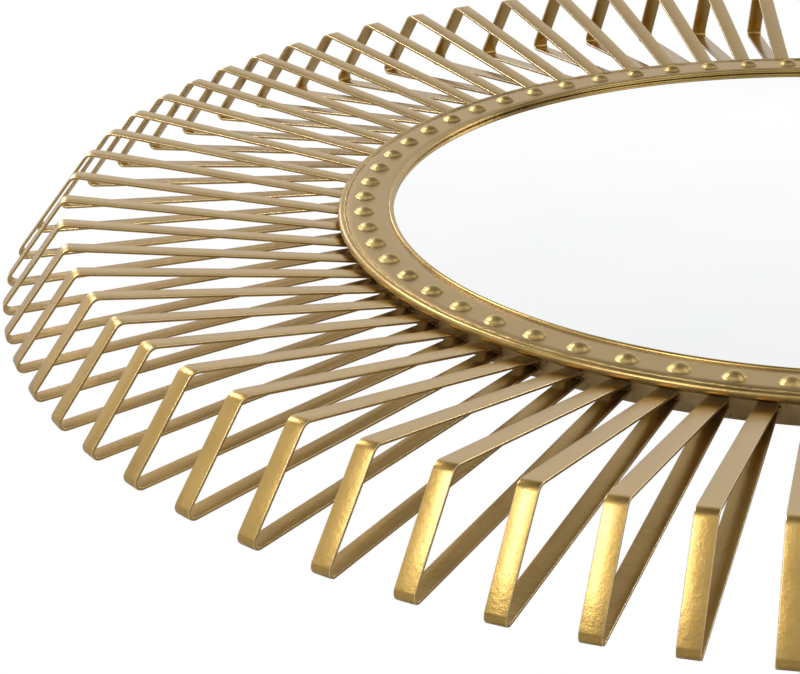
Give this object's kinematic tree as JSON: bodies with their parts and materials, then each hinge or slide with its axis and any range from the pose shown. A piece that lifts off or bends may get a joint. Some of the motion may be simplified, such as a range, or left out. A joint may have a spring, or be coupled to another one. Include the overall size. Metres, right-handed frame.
{
  "type": "sunburst wall mirror",
  "caption": "Round wall mirror in a riveted gold bezel, ringed by flat metal bars folded into long triangular rays, with swinging hanger rings and turn buttons on the back.",
  "frame": {"origin": "centre of the mirror on the plane where the rubber bumpers meet the wall", "axes": "+Z is the way the glass faces, +Y is up on the wall, +X is to the right as seen from the front"},
  "size_m": [0.9191, 0.9194, 0.0491],
  "materials": {
    "gold_bar": "hand-rubbed antique gold, satin",
    "gold_bezel": "satin beige gold",
    "mirror": "polished flat mirror",
    "felt": "pressed black felt",
    "board": "brown hardboard",
    "steel": "zinc plated",
    "bumper_rubber": "matte black rubber"
  },
  "bodies": {
    "mirror": {"bezel_flange": "gold_bezel", "bezel_inner_lip": "gold_bezel", "bezel_edge_ring": "gold_bezel", "bezel_rivets": "gold_bezel", "hoop": "gold_bar", "mirror_glass": "mirror", "felt_pad": "felt", "backing_board": "board", "rays_01": "gold_bar", "rays_02": "gold_bar", "rays_03": "gold_bar", "rays_04": "gold_bar", "rays_05": "gold_bar", "rays_06": "gold_bar", "rays_07": "gold_bar", "rays_08": "gold_bar", "rays_09": "gold_bar", "rays_10": "gold_bar", "rays_11": "gold_bar", "rays_12": "gold_bar", "rays_13": "gold_bar", "rays_14": "gold_bar", "rays_15": "gold_bar", "rays_16": "gold_bar", "rays_17": "gold_bar", "rays_18": "gold_bar", "rays_19": "gold_bar", "rays_20": "gold_bar", "rays_21": "gold_bar", "rays_22": "gold_bar", "rays_23": "gold_bar", "rays_24": "gold_bar", "button_lug_1": "gold_bar", "button_lug_2": "gold_bar", "button_lug_3": "gold_bar", "button_lug_4": "gold_bar", "button_lug_5": "gold_bar", "button_lug_6": "gold_bar", "pivot_screws": "steel", "hanger_plate_right": "gold_bar", "hanger_strap_right": "steel", "hanger_plate_left": "gold_bar", "hanger_strap_left": "steel", "strap_rivets": "steel", "bumper_1": "bumper_rubber", "bumper_2": "bumper_rubber", "bumper_3": "bumper_rubber", "bumper_4": "bumper_rubber", "bumper_screws": "steel"},
    "turn_button_1": {"turn_button_1": "steel"},
    "turn_button_2": {"turn_button_2": "steel"},
    "turn_button_3": {"turn_button_3": "steel"},
    "turn_button_4": {"turn_button_4": "steel"},
    "turn_button_5": {"turn_button_5": "steel"},
    "turn_button_6": {"turn_button_6": "steel"},
    "hanger_ring_right": {"hanger_ring_right": "steel"},
    "hanger_ring_left": {"hanger_ring_left": "steel"}
  },
  "joints": [
    {"name": "turn_button_1_turn", "type": "hinge", "parent": "mirror", "child": "turn_button_1", "pos_m": [0.2605, 0, 0.0202], "axis": [0, 0, 1], "range_deg": [-90, 90]},
    {"name": "turn_button_2_turn", "type": "hinge", "parent": "mirror", "child": "turn_button_2", "pos_m": [0, 0.2605, 0.0202], "axis": [0, 0, 1], "range_deg": [-90, 90]},
    {"name": "turn_button_3_turn", "type": "hinge", "parent": "mirror", "child": "turn_button_3", "pos_m": [-0.2605, 0, 0.0202], "axis": [0, 0, 1], "range_deg": [-90, 90]},
    {"name": "turn_button_4_turn", "type": "hinge", "parent": "mirror", "child": "turn_button_4", "pos_m": [-0.1842, -0.1842, 0.0202], "axis": [0, 0, 1], "range_deg": [-90, 90]},
    {"name": "turn_button_5_turn", "type": "hinge", "parent": "mirror", "child": "turn_button_5", "pos_m": [0, -0.2605, 0.0202], "axis": [0, 0, 1], "range_deg": [-90, 90]},
    {"name": "turn_button_6_turn", "type": "hinge", "parent": "mirror", "child": "turn_button_6", "pos_m": [0.1842, -0.1842, 0.0202], "axis": [0, 0, 1], "range_deg": [-90, 90]},
    {"name": "hanger_ring_right_swing", "type": "hinge", "parent": "mirror", "child": "hanger_ring_right", "pos_m": [0.218, 0.1285, 0.01334], "axis": [-1, 0, 0], "range_deg": [-20, 160]},
    {"name": "hanger_ring_left_swing", "type": "hinge", "parent": "mirror", "child": "hanger_ring_left", "pos_m": [-0.218, 0.1285, 0.01334], "axis": [-1, 0, 0], "range_deg": [-20, 160]}
  ]
}
